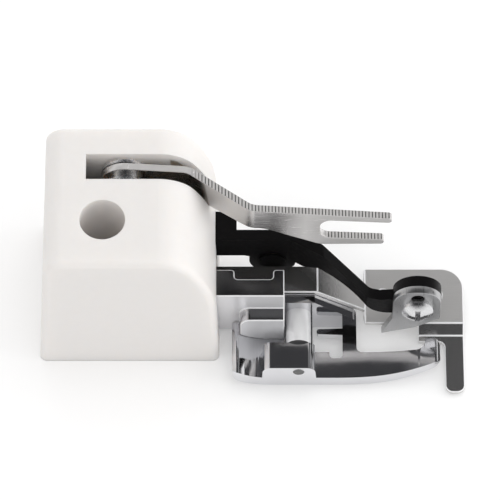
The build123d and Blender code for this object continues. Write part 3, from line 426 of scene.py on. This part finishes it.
def domed_screw(name, middle, head, shank, length, rim, crown, slot):
    """A closed surface on a polar grid, turned about Y and facing -Y. At share r of the radius the head
    stands out by `rim` plus `crown` times one minus r squared, less a hollow inside a cross of the `slot`
    length, width and depth. Four more rings carry the outline on to the head's foot, the shank and its
    end."""
    rings, turns = 44, 160
    soft_edge = 0.06 * MM
    merge_reach = 0.01 * MICRON
    sharp_angle = np.radians(50.0)
    share = np.linspace(0, 1, rings)[:, None]
    turn = np.linspace(0, 2 * np.pi, turns, endpoint=False)[None, :]
    across = head * share * np.cos(turn)
    up = head * share * np.sin(turn)

    def inside(distance, width):
        """1 inside a band of that width and 0 outside it, with a soft edge."""
        return np.clip((width / 2 - np.abs(distance)) / soft_edge + 0.5, 0, 1)

    slot_length, slot_width, slot_depth = slot
    upright = inside(across, slot_width) * inside(up, slot_length)
    level = inside(up, slot_width) * inside(across, slot_length)
    out = rim + crown * (1 - share ** 2) - slot_depth * np.maximum(upright, level)
    tail_radius = np.array([head, shank, shank, 0.0])[:, None]
    tail_back = np.array([0.0, 0.0, length, length])[:, None] + 0 * turn
    points = np.stack((
        middle[0] + np.concatenate((across, tail_radius * np.cos(turn))),
        middle[1] + np.concatenate((-out, tail_back)),
        middle[2] + np.concatenate((up, tail_radius * np.sin(turn))),
    ), axis=-1)
    row, column = np.meshgrid(np.arange(len(points) - 1), np.arange(turns), indexing="ij")
    after = (column + 1) % turns
    near, far = row * turns, (row + 1) * turns
    faces = np.stack((near + column, near + after, far + after, far + column), axis=-1)
    mesh = bpy.data.meshes.new(name)
    mesh.from_pydata(points.reshape(-1, 3).tolist(), [], faces.reshape(-1, 4).tolist())
    work = bmesh.new()
    work.from_mesh(mesh)
    bmesh.ops.remove_doubles(work, verts=work.verts, dist=merge_reach)
    bmesh.ops.recalc_face_normals(work, faces=work.faces)
    work.to_mesh(mesh)
    work.free()
    mesh.shade_smooth()
    mesh.set_sharp_from_angle(angle=sharp_angle)
    piece = bpy.data.objects.new(name, mesh)
    bpy.context.scene.collection.objects.link(piece)
    return piece


screw_low, screw_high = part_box("knife_screw")
screw_middle = (screw_low + screw_high) / 2
knife_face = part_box("moving_knife")[0].y
head_height = knife_face - screw_low.y
rim_share = 0.4
screw = domed_screw(
    "knife_screw_dressed",
    (screw_middle.x, knife_face, screw_middle.z),
    head=(screw_high.x - screw_low.x) / 2,
    shank=1.2 * MM,
    length=screw_high.y - knife_face,
    rim=rim_share * head_height,
    crown=(1 - rim_share) * head_height,
    slot=(2.8 * MM, 0.62 * MM, 0.9 * MM),
)
wear(screw, zinc)
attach(screw, "arm")
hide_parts("knife_screw")

# Floor: a plain pale sheet under the foot, flat and without gloss.
# It keeps the foot's shadow, and is brought up to white where nothing shades it.
floor_reach = 3.0
corners = np.array([(-1, -1), (1, -1), (1, 1), (-1, 1)]) * floor_reach
floor_mesh = bpy.data.meshes.new("floor")
floor_mesh.from_pydata([(x, y, 0.0) for x, y in corners], [], [(0, 1, 2, 3)])
floor = bpy.data.objects.new("floor", floor_mesh)
bpy.context.scene.collection.objects.link(floor)
pale = finish("pale_floor", (0.86, 0.86, 0.86), metallic=0.0, roughness=0.9)
tree = pale.node_tree
shader = tree.nodes["Principled BSDF"]
shader.inputs["Specular IOR Level"].default_value = 0.0
path = tree.nodes.new("ShaderNodeLightPath")
looked_at = reckon(pale, "MAXIMUM", path.outputs["Is Camera Ray"], path.outputs["Is Glossy Ray"])
looked_at = reckon(pale, "MAXIMUM", looked_at, path.outputs["Is Transmission Ray"])
floor_lift = 0.18
shader.inputs["Emission Color"].default_value = (1, 1, 1, 1)
tree.links.new(reckon(pale, "MULTIPLY", looked_at, floor_lift), shader.inputs["Emission Strength"])
wear(floor, pale)

# Studio: a soft white room, a little brighter on the right, with three soft panels that mirrors don't show.
# What metal mirrors of the room is bright low down, and dark overhead and in front.
# Dark stripes stand at the far right, and the last of them runs on to the end.
bright_wall = (0.95, 0.95, 0.95, 1)
dark_wall = (0.05, 0.05, 0.053, 1)
bright_below, dark_above = 0.45, 0.85
front_from = (-0.45, -0.65)
front_above = (0.15, 0.30)
stripe_edges = (0.27, 0.42, 0.57, 0.735, 0.785)
stripes_behind = (0.20, 0.30)
left_light, right_light = 0.76, 0.94
world = bpy.data.worlds.new("studio")
bpy.context.scene.world = world
world.use_nodes = True
tree = world.node_tree
back = tree.nodes["Background"]
across, along, up = (own(world, "Generated", axis) for axis in "XYZ")
walls = tree.nodes.new("ShaderNodeValToRGB")
walls.color_ramp.elements[0].position = bright_below
walls.color_ramp.elements[0].color = bright_wall
walls.color_ramp.elements[1].position = dark_above
walls.color_ramp.elements[1].color = dark_wall
tree.links.new(up, walls.inputs["Fac"])
front = reckon(world, "MULTIPLY", rising(world, along, *front_from), rising(world, up, *front_above))
stripes = tree.nodes.new("ShaderNodeValToRGB")
stripes.color_ramp.interpolation = "CONSTANT"
for count, edge in enumerate(stripe_edges):
    dark = 1.0 - count % 2
    stripes.color_ramp.elements.new(edge).color = (dark, dark, dark, 1)
tree.links.new(across, stripes.inputs["Fac"])
striped = reckon(world, "MULTIPLY", stripes.outputs["Color"], rising(world, along, *stripes_behind))
flags = tree.nodes.new("ShaderNodeMix")
flags.data_type = "RGBA"
flags.inputs["B"].default_value = dark_wall
tree.links.new(reckon(world, "MAXIMUM", front, striped), flags.inputs["Factor"])
tree.links.new(walls.outputs["Color"], flags.inputs["A"])
sides = tree.nodes.new("ShaderNodeMapRange")
sides.inputs["From Min"].default_value = -1.0
sides.inputs["To Min"].default_value = left_light
sides.inputs["To Max"].default_value = right_light
tree.links.new(across, sides.inputs["Value"])
path = tree.nodes.new("ShaderNodeLightPath")
room = tree.nodes.new("ShaderNodeMix")
room.data_type = "RGBA"
tree.links.new(path.outputs["Is Glossy Ray"], room.inputs["Factor"])
tree.links.new(sides.outputs["Result"], room.inputs["A"])
tree.links.new(flags.outputs["Result"], room.inputs["B"])
tree.links.new(room.outputs["Result"], back.inputs["Color"])
back.inputs["Strength"].default_value = 1.0

foot_middle = Vector((0.0, 0.0, 10.0)) * MM
for name, stand, size, power in (
    ("top_panel", (0.05, 0.25, 0.60), 0.45, 0.5),
    ("front_panel", (0.0, -0.30, 0.55), 0.45, 0.15),
    ("side_panel", (0.60, -0.05, 0.12), 0.50, 1.4),
):
    light = bpy.data.lights.new(name, "AREA")
    light.shape = "SQUARE"
    light.size = size
    light.energy = power
    panel = bpy.data.objects.new(name, light)
    bpy.context.scene.collection.objects.link(panel)
    panel.location = stand
    panel.rotation_euler = (foot_middle - Vector(stand)).to_track_quat("-Z", "Y").to_euler()
    panel.visible_glossy = False

# Camera: a long lens in front of the foot, 60 degrees up, as the photograph was taken.
# Its aim and its length set the foot in the frame as the photograph has it.
aim = Vector((-0.29, 3.0, 12.0)) * MM
rise = np.radians(60.0)
reach = 0.65
view = bpy.data.cameras.new("camera")
view.lens = 327.6
view.sensor_width = 36.0
view.clip_start = 0.01
camera = bpy.data.objects.new("camera", view)
bpy.context.scene.collection.objects.link(camera)
camera.location = aim + Vector((0.0, -np.cos(rise), np.sin(rise))) * reach
camera.rotation_euler = (aim - camera.location).to_track_quat("-Z", "Y").to_euler()
bpy.context.scene.camera = camera
bpy.context.scene.view_settings.view_transform = "Standard"
